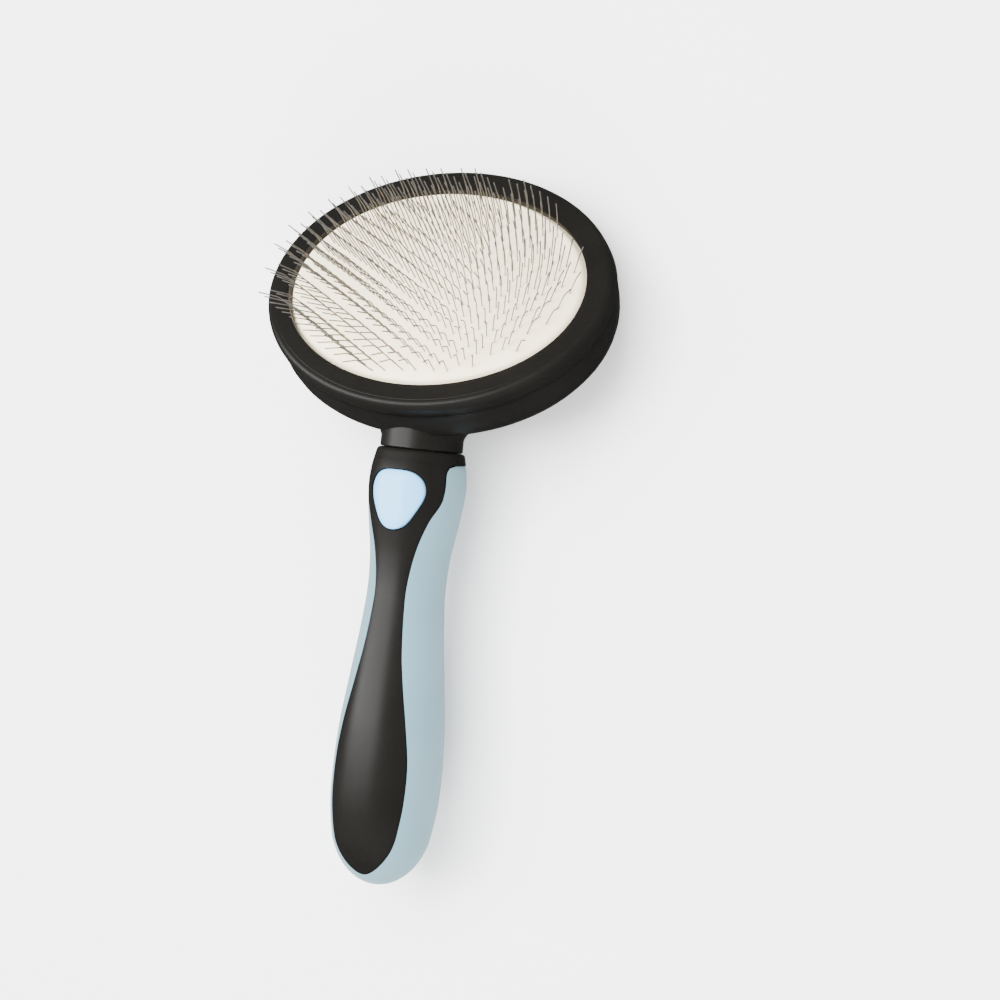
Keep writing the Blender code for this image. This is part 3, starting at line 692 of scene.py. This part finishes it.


# Pieces out of sight
# A slab of open-cell foam lies in the bowl behind the cushion's cloth, and a coil spring of steel
# wire returns the key.

def plain(name, base, roughness, metallic, scale):
    """A finish for a hidden piece: its own colour, mottled at the scale of its texture."""
    made, tree, shader, place = new_material(name)
    cloud = add_node(tree, "ShaderNodeTexNoise", {"Scale": scale, "Detail": 3.0}, {"Vector": (place, "Object")})
    bump = add_node(tree, "ShaderNodeBump", {"Strength": 0.6, "Distance": 0.1 * MM}, {"Height": (cloud, "Fac")})
    tree.links.new(bump.outputs["Normal"], shader.inputs["Normal"])
    shader.inputs["Base Color"].default_value = colour(base)
    shader.inputs["Roughness"].default_value = roughness
    shader.inputs["Metallic"].default_value = metallic
    return made


foam_low, foam_high = -14.7, -5.7
foam = add_piece("foam_slab", oval_loft([
    oval(11.0, foam_low, -2.4), oval(9.4, foam_low + 1.4, -2.3), oval(6.4, foam_high - 2.0),
    oval(6.3, foam_high - 0.4), oval(6.7, foam_high),
]), head_place, plain("open_cell_foam", "#e2dac8", 0.95, 0.0, 900.0), "head", "foam", "foam_cushion")
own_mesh(foam)

SPRING_RADIUS, SPRING_WIRE, SPRING_TURNS, SPRING_PLACE = 1.6, 0.3, 4, 17.6
spring_low, spring_high = [(corner.z - joint.z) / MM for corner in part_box("button_spring")]
coil = []
for step in range(SPRING_TURNS * 20 + 1):
    angle = math.tau * step / 20
    rise = (spring_high - spring_low - 2 * SPRING_WIRE) * step / (SPRING_TURNS * 20)
    coil.append(Vector((SPRING_RADIUS * math.cos(angle), SPRING_RADIUS * math.sin(angle) - SPRING_PLACE,
                        spring_low + SPRING_WIRE + rise)))
spring_mesh = bmesh.new()
sweep(spring_mesh, coil, SPRING_WIRE, sides=10)
spring = add_piece("return_coil", spring_mesh, handle_place, steel, "handle", "steel_wire", "button_spring")
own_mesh(spring)


# Core, retainer, cloth and catch plate
# The handle's core, the ring that backs the rim, the cloth that holds the wires and the catch plate
# keep their solids, and each takes the finish of what it is made of.

kept = {
    "handle_core": black_abs,
    "cushion_retainer": black_abs,
    "pin_foundation": plain("woven_backing_cloth", "#cfc7b6", 0.9, 0.0, 1800.0),
    "catch_plate": plain("white_acetal", "#e8e8e4", 0.35, 0.0, 3000.0),
}
for node, finish in kept.items():
    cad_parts[node].data.materials.clear()
    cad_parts[node].data.materials.append(finish)


# Table, light and camera
# A plain white table under soft light: a long softbox at the left, one over the handle's end, and a
# weak fill all round.

table = bmesh.new()
bmesh.ops.create_grid(table, x_segments=1, y_segments=1, size=3.0)
bmesh.ops.translate(table, vec=(0, 0, cad_box[0][2]), verts=table.verts[:])
table_mesh = bpy.data.meshes.new("table")
table.to_mesh(table_mesh)
table.free()
table_top = bpy.data.objects.new("table", table_mesh)
bpy.context.scene.collection.objects.link(table_top)
paper, paper_tree, paper_shader, paper_place = new_material("white_paper")
paper_shader.inputs["Base Color"].default_value = colour("#f7f7f7")
paper_shader.inputs["Roughness"].default_value = 0.9
table_mesh.materials.append(paper)
table_top.visible_glossy = False


def softbox(name, place, target, size, length, power, glossy=True):
    data = bpy.data.lights.new(name, "AREA")
    data.shape = "RECTANGLE"
    data.size = size
    data.size_y = length
    data.energy = power
    lamp = bpy.data.objects.new(name, data)
    lamp.location = place
    lamp.rotation_euler = (Vector(target) - Vector(place)).to_track_quat("-Z", "Y").to_euler()
    lamp.visible_glossy = glossy
    bpy.context.scene.collection.objects.link(lamp)


softbox("left_softbox", (-0.54, 0.0, 0.69), (0, 0, 0), 0.25, 1.2, 8)
softbox("front_softbox", (0.25, -0.9, 0.75), (0, 0, 0), 1.0, 0.6, 24, glossy=False)
softbox("top_softbox", (-0.1, 0.4, 1.3), (0, 0, 0), 1.2, 1.2, 85, glossy=False)
world = bpy.data.worlds.new("studio")
world.use_nodes = True
world.node_tree.nodes["Background"].inputs["Color"].default_value = (1, 1, 1, 1)
rays = add_node(world.node_tree, "ShaderNodeLightPath")
dimmed = add_node(world.node_tree, "ShaderNodeMapRange", {"To Min": 0.9, "To Max": 0.1},
                  {"Value": (rays, "Is Glossy Ray")})
world.node_tree.links.new(dimmed.outputs["Result"], world.node_tree.nodes["Background"].inputs["Strength"])
bpy.context.scene.world = world

TURN, TIP, ROLL = math.radians(24.45), math.radians(-1.9), math.radians(6.1)
DISTANCE, ASIDE, ABOVE = 520.0, -20.3, 12.9
turn = Matrix(((math.cos(TURN), 0, -math.sin(TURN)), (0, 1, 0), (math.sin(TURN), 0, math.cos(TURN))))
tip = Matrix(((1, 0, 0), (0, math.cos(TIP), math.sin(TIP)), (0, -math.sin(TIP), math.cos(TIP))))
roll = Matrix(((math.cos(ROLL), math.sin(ROLL), 0), (-math.sin(ROLL), math.cos(ROLL), 0), (0, 0, 1)))
facing = (roll @ tip @ turn).transposed()
camera = bpy.data.objects.new("camera", bpy.data.cameras.new("camera"))
camera.data.lens = 72.55
camera.data.sensor_width = 36
camera.data.clip_start = 0.01
camera.matrix_world = (Matrix.Translation(joint - facing @ Vector((ASIDE, ABOVE, -DISTANCE)) * MM)
                       @ facing.to_4x4())
bpy.context.scene.collection.objects.link(camera)
bpy.context.scene.camera = camera
